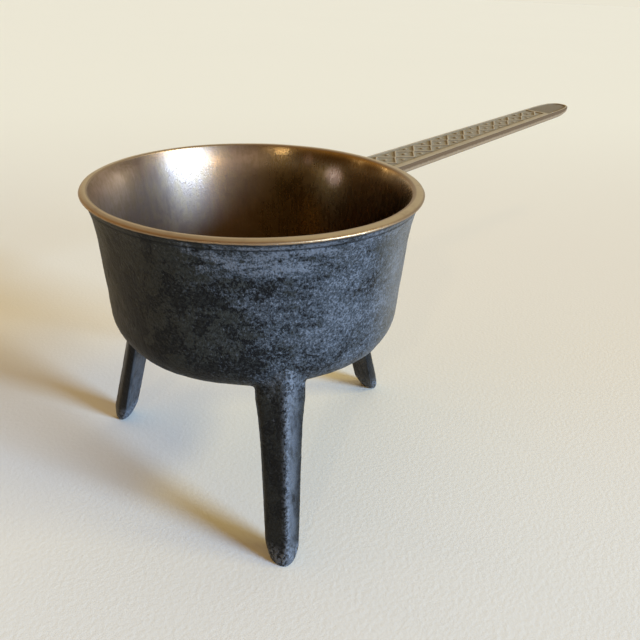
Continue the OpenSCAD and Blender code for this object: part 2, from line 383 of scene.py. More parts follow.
def bowl_grid(bowl):
    """Rings of the bowl: its profile turned about the axis, raised by the cast skin outside.

    The inside's centre moves off the axis by the core's shift, which grows across the rim.
    """
    profile, along, rim_rows = bowl_profile(bowl)
    tangent = np.gradient(profile, axis=0)
    tangent /= np.linalg.norm(tangent, axis=1, keepdims=True)
    turn = np.linspace(0, 2 * np.pi, 576, endpoint=False)
    ray = np.stack([np.cos(turn), np.sin(turn), np.zeros_like(turn)], -1)
    up = np.array([0.0, 0.0, 1.0])
    shift = bowl.core_shift * np.array([math.cos(bowl.core_turn), math.sin(bowl.core_turn), 0.0])
    rows = np.arange(len(profile))
    inward = np.clip((rows - rim_rows.start - 4) / (rim_rows.stop - rim_rows.start - 4), 0, 1)
    grid = profile[:, 0, None, None] * ray + (profile[:, 1, None] * up)[:, None]
    grid = grid + inward[:, None, None] * shift + np.array([AXIS_X, 0, RIM_Z])
    normal = tangent[:, 1, None, None] * ray - (tangent[:, 0, None] * up)[:, None]
    out = smooth(3 * MM, 9 * MM, -along)[:, None]
    within = smooth(6 * MM, 14 * MM, along)[:, None]
    groove = np.exp(-((profile[:, 1] + bowl.groove_drop) / (0.55 * MM)) ** 2) * (along < 0)
    groove = groove[:, None] * (0.75 + 0.35 * ripple(grid, 60 * MM, 15))
    wear = 0.05 * MM * ripple(grid, 30 * MM, 14) - 0.06 * MM
    height = out * cast_height(bowl, grid) + (1 - out) * wear - bowl.groove_depth * groove
    height = (1 - within) * height + within * 0.07 * MM * ripple(grid, 34 * MM, 16)
    return grid + height[..., None] * normal, along, rim_rows


def on_bowl(bowl, points):
    """Distance of points from the bowl's outside, the nearest point of its outline and the normal there.

    Each point's radius and height are dropped onto every segment of the outline, and the nearest
    foot counts. The distance is negative inside.
    """
    outline = bowl_outline(bowl, 0)[::3]
    flat = np.stack([
        np.hypot(points[..., 0] - AXIS_X, points[..., 1]), points[..., 2] - RIM_Z], -1).reshape(-1, 1, 2)
    start = outline[:-1]
    run = np.diff(outline, axis=0)
    size = (run ** 2).sum(-1)
    part = np.clip(((flat - start) * run).sum(-1) / size, 0, 1)
    foot = start + part[..., None] * run
    best = ((flat - foot) ** 2).sum(-1).argmin(-1)
    foot = foot[np.arange(len(foot)), best]
    normal = np.stack([-run[:, 1], run[:, 0]], -1)[best] / np.sqrt(size)[best, None]
    gap = ((flat[:, 0] - foot) * normal).sum(-1)
    shape = points.shape[:-1]
    return gap.reshape(shape), foot.reshape(*shape, 2), normal.reshape(*shape, 2)


def crossing(gap, way):
    """Where each column of gap first turns negative down its rows, as a value of way, a number for each row."""
    row = (gap < 0).argmax(axis=0)
    column = np.arange(gap.shape[1])
    if (row == 0).any():
        raise RuntimeError("a leg or the handle doesn't reach the bowl")
    outside = gap[row - 1, column]
    inside = gap[row, column]
    part = outside / (outside - inside)
    return way[row - 1] + part * (way[row] - way[row - 1])


def rays_of(points):
    """Unit vectors from the bowl's axis towards points."""
    flat = points - np.array([AXIS_X, 0, 0])
    flat[..., 2] = 0
    return flat / np.maximum(np.linalg.norm(flat, axis=-1, keepdims=True), 1e-9)


def laid_on_bowl(bowl, points, sunk):
    """Points moved to the nearest place on the bowl's outside and sunk into its wall."""
    gap, foot, normal = on_bowl(bowl, points)
    at = foot - sunk * normal
    placed = rays_of(points) * at[..., :1]
    placed[..., 0] += AXIS_X
    placed[..., 2] = at[..., 1] + RIM_Z
    return placed


def rooted(bowl, grid, fillet, rough):
    """The grid of a piece that ends on the bowl, with its own skin, a fillet and closing rings.

    rough is the height of the piece's skin along its normal. Near the bowl that fades out, the
    piece takes the bowl's own cast height, and it swells along the bowl's skin by
    fillet - sqrt(fillet^2 - (fillet - gap)^2), a quarter circle. The last ring is then laid into the
    wall and drawn in to its middle in steps. Returns the rings and the pole that ends them.
    """
    gap, foot, normal = on_bowl(bowl, grid)
    skin = ring_normals(grid)
    across = rays_of(grid) * normal[..., :1]
    across[..., 2] = normal[..., 1]
    left = np.clip(fillet - gap, 0, fillet)
    swell = fillet - np.sqrt(fillet ** 2 - left ** 2)
    sideways = skin - (skin * across).sum(-1, keepdims=True) * across
    near = 1 - smooth(0, 5 * MM, gap)
    moved = grid + (rough * (1 - near))[..., None] * skin + swell[..., None] * sideways
    moved = moved + (near * cast_height(bowl, grid))[..., None] * across
    ring = moved[-1]
    middle = ring.mean(0)
    shrink = np.array([0.0, 0.12, 0.35, 0.6, 0.85])[:, None, None]
    sunk = laid_on_bowl(bowl, ring + shrink * (middle - ring), 1.3 * MM)
    pole = laid_on_bowl(bowl, middle[None], 1.3 * MM)[0]
    return np.concatenate([moved, sunk]), pole


class POT_OT_bowl(Operator):
    """Add the cast bowl."""

    bl_idname = "pot.bowl"
    bl_label = "Bowl"

    def execute(self, context):
        """Turns the profile into rings; faces beyond the rim's inner edge take the inside's finish."""
        bowl = context.scene.pot_bowl
        grid, along, rim_rows = bowl_grid(bowl)
        rows, columns = grid.shape[:2]
        marks = {"along": np.repeat(along[:, None], columns, 1)}
        piece = piece_from_rings(
            "cast_bowl", grid, grid[0].mean(0), grid[-1].mean(0), marks,
            [bowl_skin(context.scene.pot_finish), bowl_inside(context.scene.pot_finish)])
        faces = np.zeros(len(piece.data.polygons), np.int32)
        faces[rim_rows.stop * columns - columns:(rows - 1) * columns] = 1
        faces[-columns:] = 1
        piece.data.polygons.foreach_set("material_index", faces)
        declare(piece, "bowl")
        return {"FINISHED"}


# Legs

# Directions from the handle in degrees, then inset at the bottom's height, splay and sideways lean in
# millimetres, and the ridge's offset as a share of the width
LEGS = {
    "handle_leg": (2.0, 5.7, 27.5, 0.0, 0.0),
    "left_leg": (-118.75, 5.25, 20.5, 1.7, 0.055),
    "right_leg": (124.25, 7.15, 22.0, 0.0, -0.03),
}

# Section of a leg in shares of its depth and width: a ridge outside, two shoulders and a flat back
LEG_SECTION = np.array([
    [0.47, 0.07], [0, 0.44], [-0.12, 0.48], [-0.44, 0.5], [-0.5, 0.45],
    [-0.5, -0.45], [-0.44, -0.5], [-0.12, -0.48], [0, -0.44], [0.47, -0.07], [0.5, 0]])
LEG_IN = 47.5 * MM


def leg_section(columns, softness):
    """The section as a closed curve of so many points, its corners rounded by a moving average.

    The average's weights are a bell of this softness, a share of the curve's length.
    """
    closed = np.concatenate([LEG_SECTION[-1:], LEG_SECTION])
    fine = spaced(closed, np.arange(columns * 4) / (columns * 4))
    reach = int(softness * len(fine) * 3)
    steps = np.arange(-reach, reach + 1)
    weight = np.exp(-0.5 * (steps / (softness * len(fine))) ** 2)
    weight /= weight.sum()
    turned = np.stack([np.roll(fine, k, axis=0) for k in steps])
    return (weight[:, None, None] * turned).sum(0)[::4]


def leg_points(bowl, legs, leg, height, draw, section):
    """Points of a leg at heights, from the place of each in the leg's section.

    Width and depth grow in a straight line from foot to bottom, plus a flare that fades as
    exp(drop / fade). The middle moves in by the splay and sideways by the lean. draw narrows the
    section. The result is turned about the bowl's axis.
    """
    turn, inset, splay, lean, skew = leg
    part = height / BOTTOM_Z
    size = np.minimum(part, 1)
    flare = legs.flare * np.exp(np.minimum(height - BOTTOM_Z, 0) / legs.flare_fade)
    wide = draw * (legs.foot_w + (legs.root_w - legs.foot_w) * size + flare)
    deep = draw * (legs.foot_t + (legs.root_t - legs.foot_t) * size + flare / 2)
    middle = RIM_R - bowl.lip_out - inset * MM + splay * MM * (1 - part)
    x = middle + section[..., 0] * deep
    y = lean * MM * part + (section[..., 1] + skew * (0.5 + section[..., 0])) * wide
    c, s = math.cos(math.radians(turn)), math.sin(math.radians(turn))
    return np.stack([AXIS_X + c * x - s * y, s * x + c * y, height + 0 * x], -1)


def leg_grid(bowl, legs, leg, seed):
    """Rings of a leg from the flat of its foot to where its skin meets the bowl, and closing rings."""
    section = leg_section(128, 0.018)
    climb = np.linspace(BOTTOM_Z - 16 * MM, BOTTOM_Z + LEG_IN, 150)
    gap = on_bowl(bowl, leg_points(bowl, legs, leg, climb[:, None] + 0 * section[:, 0], 1.0, section))[0]
    top = crossing(gap, climb)
    turn = np.linspace(0, math.pi / 2, 13)[1:]
    foot = legs.foot_round * (1 - np.cos(turn))
    t = np.linspace(0, 1, 190)[1:, None]
    shaft = legs.foot_round + (top - legs.foot_round) * (t + 0.12 * np.sin(np.pi * t) * t)
    heights = np.concatenate([
        np.zeros((4, len(top))), foot[:, None] + 0 * top, shaft])
    flat = legs.foot_flat
    draw = np.concatenate([
        flat * np.array([0.25, 0.55, 0.85, 1.0]), flat + (1 - flat) * np.sin(turn), np.ones(len(t))])
    worn = smooth(9 * MM, 1 * MM, heights)[..., None]
    section = section + worn * (leg_section(128, 0.085) - section)
    grid = leg_points(bowl, legs, leg, heights, draw[:, None], section)
    off_floor = smooth(0, 4 * MM, heights)
    rough = 0.07 * MM * ripple(grid, 30 * MM, seed) + 0.035 * MM * ripple(grid, 5 * MM, seed + 1)
    rough = rough - 0.13 * MM - 0.12 * MM * smooth(1.2, 2.0, ripple(grid, 4 * MM, seed + 2))
    rings, pole = rooted(bowl, grid, legs.fillet, rough * off_floor)
    # Painted sheen: a pale band beside the ridge on the section's +y side, and on the flat back.
    painted_sheen = smooth(-0.03, 0.05, section[..., 1]) * smooth(0.44, 0.16, section[..., 1])
    painted_sheen = np.maximum(painted_sheen * (section[..., 0] > 0), 0.55 * smooth(-0.40, -0.46, section[..., 0]))
    free = smooth(3 * MM, 16 * MM, top - heights) + 0 * painted_sheen
    # Ridge mark: specks along the ridge stand partly for wear on the arris and partly for a painted highlight;
    # where the ridge climbs onto the bowl they are a painted highlight.
    ridge = np.exp(-((section[..., 1] - 0.02) / 0.09) ** 2) * free
    junction_highlight = np.exp(-((section[..., 1] - 0.10) / 0.15) ** 2) * smooth(24 * MM, 8 * MM, top - heights)
    ridge = np.maximum(ridge, junction_highlight) * (section[..., 0] > 0)
    rest = ((0, len(rings) - len(painted_sheen)), (0, 0))
    marks = {"painted_sheen": painted_sheen * free, "ridge": ridge, "free": free}
    return rings, grid[0].mean(0), pole, {name: np.pad(mark, rest) for name, mark in marks.items()}


class POT_OT_legs(Operator):
    """Add the three legs."""

    bl_idname = "pot.legs"
    bl_label = "Legs"

    def execute(self, context):
        """Makes each leg from its own line in LEGS."""
        scene = context.scene
        skin = leg_skin(scene.pot_finish)
        for step, (node, leg) in enumerate(LEGS.items()):
            rings, foot, pole, marks = leg_grid(scene.pot_bowl, scene.pot_legs, leg, 30 + 5 * step)
            piece = piece_from_rings("cast_" + node, rings, foot, pole, marks, [skin])
            declare(piece, node)
        return {"FINISHED"}


# Handle

def half_width(handle, x, round_x):
    """Half width of the handle's straight taper at a distance from the rim."""
    taper = handle.root_w + (handle.end_w - handle.root_w) * np.minimum(x, round_x) / round_x
    return taper / 2


def edge_distance(handle, x, y, round_x):
    """Distance of a point of the top from the handle's outline, at most 5 mm.

    The outline is the curve (y / half)^n + (ahead / end)^n = 1, and the distance is about the
    value of 1 minus that sum over the length of its slope.
    """
    n = handle.end_square
    half = half_width(handle, x, round_x)
    q = np.abs(y) / half
    ahead = np.clip((x - round_x) / handle.end_len, 0, 1)
    slope = n * np.hypot(q ** (n - 1) / half, ahead ** (n - 1) / handle.end_len)
    return np.clip((1 - q ** n - ahead ** n) / np.maximum(slope, 1e-6), 0, 5 * MM)


def panel_half(handle, x, round_x):
    """Half width of the panel between its two borders."""
    return half_width(handle, x, round_x) - (handle.border_w + handle.left_border_w) / 2


def relief_share(handle, x, y, end_x, round_x):
    """How far the relief stands over the panel's ground, from 0 to 1, and how deep the panel is, 0 to 1.

    Open lozenges run in a chain: each is the line where |dx| / long + |y| / wide = 1, in the
    middle between its outer and inner outline. A pellet stands in each and two between each pair.
    The panel's middle line lies off the handle's by half of what one border is wider.
    """
    y = y - (handle.left_border_w - handle.border_w) / 2
    half = panel_half(handle, x, round_x)
    start = handle.panel_start
    finish = end_x - handle.plain_end
    pitch = (finish - start) / handle.lozenges
    inner = np.minimum(np.minimum(half - np.abs(y), x - start), finish - x)
    raised = np.zeros_like(x)
    cell = np.clip(np.floor((x - start) / pitch), 0, handle.lozenges - 1)
    soft = 0.42 * MM
    for step in (-1, 0, 1):
        home = np.clip(cell + step, 0, handle.lozenges - 1)
        centre = start + pitch * (home + 0.5)
        reach = (pitch + handle.line_w) / 2
        wide = panel_half(handle, centre, round_x) * handle.lozenge_share
        thin = handle.line_w * np.hypot(reach, wide) / (reach * wide)
        reach = reach * (1 - thin / 2)
        wide = wide * (1 - thin / 2)
        level = np.abs(x - centre) / reach + np.abs(y) / wide - 1
        line = np.abs(level) / np.hypot(1 / reach, 1 / wide)
        pellet = np.hypot(x - centre, y)
        before = centre - pitch / 2
        aside = panel_half(handle, before, round_x) * handle.pellet_share
        beside = np.hypot(x - before, np.abs(y) - aside)
        from_line = line - handle.line_w / 2
        from_pellet = np.minimum(pellet, beside) - handle.pellet_r
        raised = np.maximum(raised, 1 - smooth(-soft, soft, np.minimum(from_line, from_pellet)))
    return raised, smooth(-0.2 * MM, 0.7 * MM, inner)


def handle_section():
    """Columns round the handle: each one's place across, -1 to 1, and its place down, 0 top to 1 under.

    They go over the top, down one side, back under and up the other, closer together at edges.
    """
    t = np.linspace(-1, 1, 92)
    top = 0.62 * t + 0.38 * np.sin(np.pi / 2 * t)
    t = np.linspace(1, -1, 34)
    under = 0.3 * t + 0.7 * np.sin(np.pi / 2 * t)
    side = np.linspace(0, 1, 7)[1:-1]
    across = np.concatenate([top, np.ones(5), under, -np.ones(5)])
    down = np.concatenate([np.zeros(92), side, np.ones(34), side[::-1]])
    return across, down


def handle_points(handle, x, across, down, end_x, round_x):
    """Points of the handle at distances from the rim, and the relief's mark at each.

    Across, a point lies at its share of the outline's half width. Top and underside are level but
    drop or rise near the outline along a quarter circle, radius - sqrt(radius^2 - (radius -
    distance)^2). The web thickens the underside towards the rim. The whole is tilted by the rise.
    """
    n = handle.end_square
    ahead = np.clip((x - round_x) / handle.end_len, 0, 1)
    full = half_width(handle, x, round_x) * np.maximum(1 - ahead ** n, 0) ** (1 / n)
    y = across * full
    inset = edge_distance(handle, x, y, round_x) * (np.abs(across) < 1)
    r = handle.top_round
    top = np.sqrt(r * r - np.clip(r - inset, 0, r) ** 2) - r
    raised, panel = relief_share(handle, x, y, end_x, round_x)
    place = np.stack([x, y, 0 * x], -1)
    worn = 0.85 + 0.2 * ripple(place, 21 * MM, 52)
    top = top - handle.panel_depth * panel * (1 - np.clip(worn, 0.5, 1) * raised)
    dish = smooth(handle.border_w - 0.3 * MM, handle.border_w + 0.5 * MM, inset)
    dish = dish * smooth(1.5 * MM, 3 * MM, x - end_x + handle.plain_end)
    top = top - handle.dish_depth * dish
    top = top - np.abs(0.07 * MM * ripple(place, 17 * MM, 51)) - 0.03 * MM * panel * ripple(place, 4 * MM, 53)
    r = handle.under_round
    near = 1 - x / handle.web_len
    web = np.clip((near + np.sqrt(near * near + 0.03)) / 2, 0, 1) * (handle.web - handle.thick)
    under = r - np.sqrt(r * r - np.clip(r - inset, 0, r) ** 2) - handle.thick - web
    under = under + 1.6 * MM * smooth(end_x - 22 * MM, end_x, x)
    z = top * (1 - down) + under * down
    c, s = math.cos(handle.rise), math.sin(handle.rise)
    points = np.stack([AXIS_X + RIM_R + c * x - s * z, y, RIM_Z - handle.drop + s * x + c * z], -1)
    mark = (1 - panel * (1 - raised)) * (1 - 0.8 * dish) * (1 - down)
    return points, mark, inset


def handle_grid(bowl, handle):
    """Rings of the handle from its tip back to where its skin meets the bowl, and closing rings."""
    across, down = handle_section()
    end_x = (HANDLE_REACH - handle.thick * math.sin(handle.rise)) / math.cos(handle.rise)
    round_x = end_x - handle.end_len
    way = np.linspace(10 * MM, -14 * MM, 120)
    probe = handle_points(handle, way[:, None] + 0 * across, across, down, end_x, round_x)[0]
    root = crossing(on_bowl(bowl, probe)[0], way)
    turn = np.linspace(0.035, math.pi / 2, 64)[:-1]
    tip = round_x + handle.end_len * np.cos(turn) ** (2 / handle.end_square)
    t = np.linspace(0, 1, 590)[:, None]
    body = round_x + (root - round_x) * t
    x = np.concatenate([tip[:, None] + 0 * root, body])
    points, mark, inset = handle_points(handle, x, across, down, end_x, round_x)
    rings, pole = rooted(bowl, points, handle.fillet, 0 * x)
    rest = len(rings) - len(points)
    marks = {"relief": mark, "inset": inset, "down": down + 0 * x}
    marks = {name: np.concatenate([mark, np.repeat(mark[-1:], rest, 0)]) for name, mark in marks.items()}
    return rings, points[0].mean(0), pole, marks


class POT_OT_handle(Operator):
    """Add the flat handle with its cast relief."""

    bl_idname = "pot.handle"
    bl_label = "Handle"

    def execute(self, context):
        """Builds the handle's rings and closes them at the tip and inside the bowl's wall."""
        scene = context.scene
        rings, tip, pole, marks = handle_grid(scene.pot_bowl, scene.pot_handle)
        piece = piece_from_rings(
            "cast_handle", rings, tip, pole, marks, [handle_bronze(scene.pot_finish)])
        declare(piece, "handle")
        return {"FINISHED"}


# Finishes

class Wire:
    """A node's output, on which arithmetic adds Math nodes."""

    def __init__(self, finish, socket):
        self.finish = finish
        self.socket = socket

    def __add__(self, other):
        return self.finish.math("ADD", self, other)

    def __sub__(self, other):
        return self.finish.math("SUBTRACT", self, other)

    def __rsub__(self, other):
        return self.finish.math("SUBTRACT", other, self)

    def __mul__(self, other):
        return self.finish.math("MULTIPLY", self, other)

    def __pow__(self, other):
        return self.finish.math("POWER", self, other)

    __radd__ = __add__
    __rmul__ = __mul__


class Finish:
    """A procedural finish: a material, or another owner of nodes, and the wires of its nodes."""

    def __init__(self, name, owner=None):
        self.material = owner or bpy.data.materials.new(name)
        self.material.use_nodes = True
        self.tree = self.material.node_tree
        self.tree.nodes.clear()
        if owner is None:
            self.place = self.add("TexCoord", out="Object")

    def add(self, kind, settings=None, sockets=None, out=0):
        """A node of a kind: its settings are set first, then its sockets get values or links."""
        node = self.tree.nodes.new("ShaderNode" + kind)
        for name, value in (settings or {}).items():
            setattr(node, name, value)
        for name, value in (sockets or {}).items():
            if isinstance(value, Wire):
                self.tree.links.new(value.socket, node.inputs[name])
            else:
                node.inputs[name].default_value = value
        return Wire(self, node.outputs[out])

    def math(self, operation, left, right):
        """One Math node."""
        return self.add("Math", {"operation": operation}, {0: left, 1: right})

    def noise(self, size, detail=3.0, rough=0.5, place=None, twist=0.0):
        """Noise whose features are about size wide, in metres."""
        return self.add("TexNoise", None, {
            "Vector": place or self.place, "Scale": 1 / size, "Detail": detail, "Roughness": rough,
            "Distortion": twist})

    def stretched(self, x, y, z):
        """Object coordinates times these shares, so a share below 1 draws a pattern out that way."""
        return self.add("VectorMath", {"operation": "MULTIPLY"}, {0: self.place, 1: (x, y, z)})

    def between(self, value, low, high):
        """0 below low and 1 above high, with a smooth step between."""
        return self.add("MapRange", {"interpolation_type": "SMOOTHSTEP"}, {
            "Value": value, "From Min": low, "From Max": high})

    def mix(self, factor, first, second):
        """A colour between two, each a wire or a linear colour."""
        ready = [c if isinstance(c, Wire) else (*c, 1.0) for c in (first, second)]
        return self.add("Mix", {"data_type": "RGBA"}, {0: factor, 6: ready[0], 7: ready[1]}, out=2)

    def dot(self, way, other):
        """The dot product of a wire's vector and a fixed one."""
        return self.add("VectorMath", {"operation": "DOT_PRODUCT"}, {0: way, 1: tuple(other)}, out="Value")

    def towards(self, turn):
        """How far a point lies off the bowl's axis in a direction, in radii of the rim."""
        way = direction(turn, 0) / RIM_R
        return self.dot(self.place, way) - AXIS_X * float(way[0])

    def drop(self):
        """Depth of a point below the rim."""
        return RIM_Z - self.add("SeparateXYZ", None, {0: self.place}, out="Z")

    def mark(self, name):
        """A number that the piece's mesh holds."""
        return self.add("Attribute", {"attribute_name": name}, out="Fac")

    def bump(self, height, distance, strength=1.0):
        """A normal from a height between about 0 and 1, which stands for this distance."""
        return self.add("Bump", None, {"Strength": strength, "Distance": distance, "Height": height})

    def finish(self, colour, metallic, roughness, normal, **fixed):
        """The shader and the output. fixed are plain values on the shader's own sockets."""
        sockets = {"Base Color": colour, "Metallic": metallic, "Roughness": roughness, "Normal": normal}
        for name, value in fixed.items():
            sockets[name.replace("_", " ")] = value
        self.end("Material", self.add("BsdfPrincipled", None, sockets))
        return self.material

    def end(self, kind, shader):
        """The output node of a material or a world."""
        node = self.tree.nodes.new("ShaderNodeOutput" + kind)
        self.tree.links.new(shader.socket, node.inputs["Surface"])


def dark_skin(f, colours, bare=0.0):
    """Colour, roughness and height of the dark skin. bare takes slate away.

    Soot and thin flakes are its ground. Slate covers it in grainy patches, which are drawn out
    level near the rim, and pale bloom lies on the slate. The slate is thicker on the handle's right,
    the side the window lights, partly as a painted sheen. The low wall on the side away from the
    window is darkened as painted shade, and paler drab strips where the wall turns away on both
    sides are painted reflections.
    """
    flat = f.stretched(1.0, 1.0, 1.6)
    cloud = f.noise(36 * MM, 3, 0.5, flat, 0.6)
    patch = f.noise(11 * MM, 6, 0.70, flat, 0.8)
    grain = f.noise(1.5 * MM, 3, 0.75)
    streak = f.noise(9 * MM, 5, 0.7, f.stretched(1.0, 1.0, 3.6), 0.6)
    speck = f.noise(0.9 * MM, 2, 0.6)
    high = f.between(f.drop(), 26 * MM, 8 * MM)
    # Slate grows thicker towards -75°, the side the window lights: partly the grey's own spread, partly a
    # painted sheen.
    thick = f.between(f.towards(-75), 0.25, 0.95)
    turned = f.between(f.towards(-127), 0.86, 0.93) * f.between(f.drop(), 22 * MM, 13 * MM)
    cover = cloud * 0.40 + patch * 0.55 + 0.025 + (thick - 0.65) * 0.24 + (streak - 0.5) * high * 0.4
    cover = cover + turned * (streak * 0.6 + patch * 0.4 - 0.37) * 1.5 - bare
    slate = f.between(cover + (grain - 0.5) * 0.7, 0.42, 0.57)
    pale = f.between(cover + (grain - 0.5) * 0.9 + (speck - 0.5) * 0.6, 0.55, 0.78)
    flakes = f.noise(14 * MM, 5, 0.65, None, 0.7) + (grain - 0.5) * 0.3 + high * 0.08
    flakes = f.between(flakes, 0.50, 0.54) * 0.55 + f.between(grain, 0.46, 0.56) * 0.45
    tone = f.mix(flakes, colours.soot_and_shade, colours.flake)
    tone = f.mix(slate, tone, colours.slate)
    tone = f.mix(pale * 0.74, tone, colours.bloom_and_sheen)
    tone = f.mix(f.between(speck, 0.46, 0.34) * 0.55, tone, colours.soot_and_shade)
    fleck = f.between(speck, 0.60, 0.68) * f.between(patch, 0.40, 0.60)
    fleck = fleck * 0.35 + f.between(f.noise(3.5 * MM, 2, 0.5), 0.74, 0.77) * 0.6
    tone = f.mix(fleck, tone, colours.bloom_and_sheen)
    # Painted shade: the low wall on the side away from the window, more than 56 mm below the rim, is darkened.
    away_side_shade = f.between(f.drop(), 56 * MM, 84 * MM) * f.between(f.towards(-75), 0.62, 0.20)
    tone = f.mix(away_side_shade * 0.85, tone, colours.soot_and_shade)
    # Painted reflection: paler drab strips where the wall turns away, towards -48° and, fainter, towards 164°.
    side_sheen_mask = f.between(f.towards(-48), 0.72, 0.90) * 0.4 + f.between(f.towards(164), 0.72, 0.88) * 0.09
    tone = f.mix(side_sheen_mask, tone, colours.side_sheen)
    roughness = 0.42 - slate * 0.04 + (grain - 0.5) * 0.25
    height = grain * 0.8 + patch * 0.4 + flakes * 0.12
    return tone, roughness, height


def rim_bronze(f, colours, inward):
    """Colour, roughness and height of the worn rim, with painted shade on its front. inward grows from its outer
    corner to its inner.
    """
    wear = f.noise(9 * MM, 4, 0.6)
    fine = f.noise(1.6 * MM, 3, 0.6)
    tone = f.mix(f.between(inward + fine * 0.8 * MM, 0.4 * MM, 1.8 * MM), colours.edge, colours.rim)
    tone = f.mix(f.between(wear, 0.50, 0.70) * 0.4, tone, colours.edge)
    tone = f.mix(f.between(inward, 3.5 * MM, 4.3 * MM), tone, colours.edge)
    # Painted shade: a dimmer reflection on the outer half of the rim's top towards -160°, at the front, patchy
    # with the wear noise.
    front_rim_shade = f.between(f.towards(-160), 0.62, 0.95) * f.between(inward, 3.2 * MM, 2.4 * MM)
    tone = f.mix(front_rim_shade * (0.5 + wear * 0.6), tone, colours.edge)
    return tone, 0.34 + fine * 0.14, fine * 0.15 + wear * 0.1


def bowl_skin(colours):
    """Finish of the bowl's outside and rim: dark skin with painted shade under the rim, a worn metal rim and a
    ragged border.
    """
    f = Finish("bowl_bronze")
    along = f.mark("along")
    skin, skin_rough, skin_height = dark_skin(f, colours)
    rim, rim_rough, rim_height = rim_bronze(f, colours, along)
    # Painted shade: the wall just under the rim's overhang is darkened; it is also darker along the turned
    # groove below.
    under = f.between(f.drop(), 4.2 * MM, 2.2 * MM)
    line = f.between(f.drop(), 4.6 * MM, 5.3 * MM) * f.between(f.drop(), 6.1 * MM, 5.5 * MM)
    skin = f.mix(under * 0.7 + line * 0.75, skin, colours.soot_and_shade)
    ragged = along + (f.noise(4 * MM, 4, 0.65) - 0.5) * 2.2 * MM
    bare = f.between(ragged, -1.5 * MM, -0.5 * MM)
    return f.finish(
        f.mix(bare, skin, rim), 0.05 + bare * 0.9, skin_rough + (rim_rough - skin_rough) * bare,
        f.bump(skin_height + (rim_height - skin_height) * bare, 0.6 * MM), Specular_IOR_Level=0.07)


def bowl_inside(colours):
    """Finish of the bowl's inside: polished bronze under a grey film on one side, darkened with depth as painted
    shade, with a painted dark reflection beside the handle and two pale painted reflections.
    """
    f = Finish("bowl_bronze_inside")
    along = f.mark("along")
    upright = f.stretched(1.0, 1.0, 0.12)
    streak = f.noise(4.5 * MM, 5, 0.6, upright)
    cloud = f.noise(24 * MM, 4, 0.6)
    fine = f.noise(1.4 * MM, 3, 0.65)
    # Painted shade: the bronze darkens with depth, sooner towards the handle, along a cloudy edge.
    reach = along + (cloud - 0.5) * 24 * MM + f.towards(0) * 14 * MM
    mottle_and_deep_shade = f.between(reach, 9 * MM, 32 * MM)
    tone = f.mix(mottle_and_deep_shade, colours.inside, colours.mottle_and_deep_shade)
    filmy = f.between(f.towards(105) + (cloud - 0.5) * 0.25 + (fine - 0.5) * 0.2, 0.36, 0.80)
    tone = f.mix(filmy * (0.92 - streak * 0.25), tone, colours.film_and_reflections)
    brushed = f.noise(1.6 * MM, 4, 0.65, f.stretched(1.0, 1.0, 0.10))
    mottle = f.noise(6 * MM, 5, 0.65)
    worn = f.between(brushed * 0.5 + mottle * 0.5, 0.44, 0.58)
    tone = f.mix(worn * 0.45 + (fine - 0.5) * 0.5, tone, colours.mottle_and_deep_shade)
    # Painted dark reflection: the inside wall beside the handle, below the rim, is darkened.
    pits_and_dark_reflection = f.between(f.towards(0), 0.50, 0.98) * f.between(along, 5 * MM, 9 * MM)
    tone = f.mix(pits_and_dark_reflection * 0.85, tone, colours.pits_and_dark_reflection)
    # Painted reflections: two pale spots of the film colour on the wall, towards 16° and 30°.
    for turn, down, size in ((16, 13.7, 8.5), (30, 5.8, 5.5)):
        reflection_spot = np.array([AXIS_X, 0, RIM_Z]) + direction(turn, 0) * (RIM_R - 8.5 * MM)
        reflection_spot = tuple(reflection_spot - np.array([0, 0, down * MM]))
        off = f.add("VectorMath", {"operation": "DISTANCE"}, {0: f.place, 1: reflection_spot}, out="Value")
        tone = f.mix(f.between(off, size * MM, 0.2 * size * MM) * 0.85, tone, colours.film_and_reflections)
    dull = filmy * f.between(along, 8 * MM, 22 * MM)
    pits = f.between(f.noise(0.9 * MM, 3, 0.7), 0.54, 0.64) * f.between(f.towards(86), 0.86, 0.92)
    pits = pits * f.between(along, 10 * MM, 19 * MM) * f.between(along, 46 * MM, 30 * MM)
    tone = f.mix(pits * 0.6, tone, colours.pits_and_dark_reflection)
    rim, rim_rough, rim_height = rim_bronze(f, colours, along)
    deep = f.between(along, 4.6 * MM, 6.2 * MM)
    tone = f.mix(deep, rim, tone)
    roughness = 0.21 + filmy * 0.09 + streak * 0.08 + worn * 0.06 + pits * 0.08
    height = fine * 0.12 - pits * 0.2 + streak * 0.1
    return f.finish(
        tone, 1.0 - dull * 0.13, rim_rough + (roughness - rim_rough) * deep,
        f.bump(rim_height + (height - rim_height) * deep, 0.2 * MM),
        Anisotropic=0.45, Anisotropic_Rotation=0.25)


def leg_skin(colours):
    """Finish of the legs: the dark skin, with a painted bluish sheen beside the ridge and on the back, and pale
    specks along the ridge and at the foot.
    """
    f = Finish("leg_bronze")
    painted_sheen = f.mark("painted_sheen")
    skin, roughness, height = dark_skin(f, colours, f.mark("free") * 0.28)
    skin = f.mix(f.mark("free") * 0.45, skin, colours.soot_and_shade)
    # Painted sheen: the pale colour laid in a streaky band where the mark says.
    worn = painted_sheen * f.between(f.noise(4 * MM, 4, 0.6, f.stretched(1.0, 1.0, 0.4)), 0.25, 0.60)
    skin = f.mix(worn * 0.52, skin, colours.bloom_and_sheen)
    # Pale specks: at the foot they are wear; along the ridge partly wear, partly painted highlight.
    foot = f.between(f.drop(), RIM_Z - 14 * MM, RIM_Z - 6 * MM)
    speck = (f.mark("ridge") + foot) * f.between(f.noise(1.6 * MM, 3, 0.6), 0.42, 0.56)
    skin = f.mix(speck * 0.8, skin, colours.bloom_and_sheen)
    return f.finish(
        skin, 0.05, roughness - worn * 0.1, f.bump(height + speck * 0.4, 0.6 * MM),
        Specular_IOR_Level=0.10)


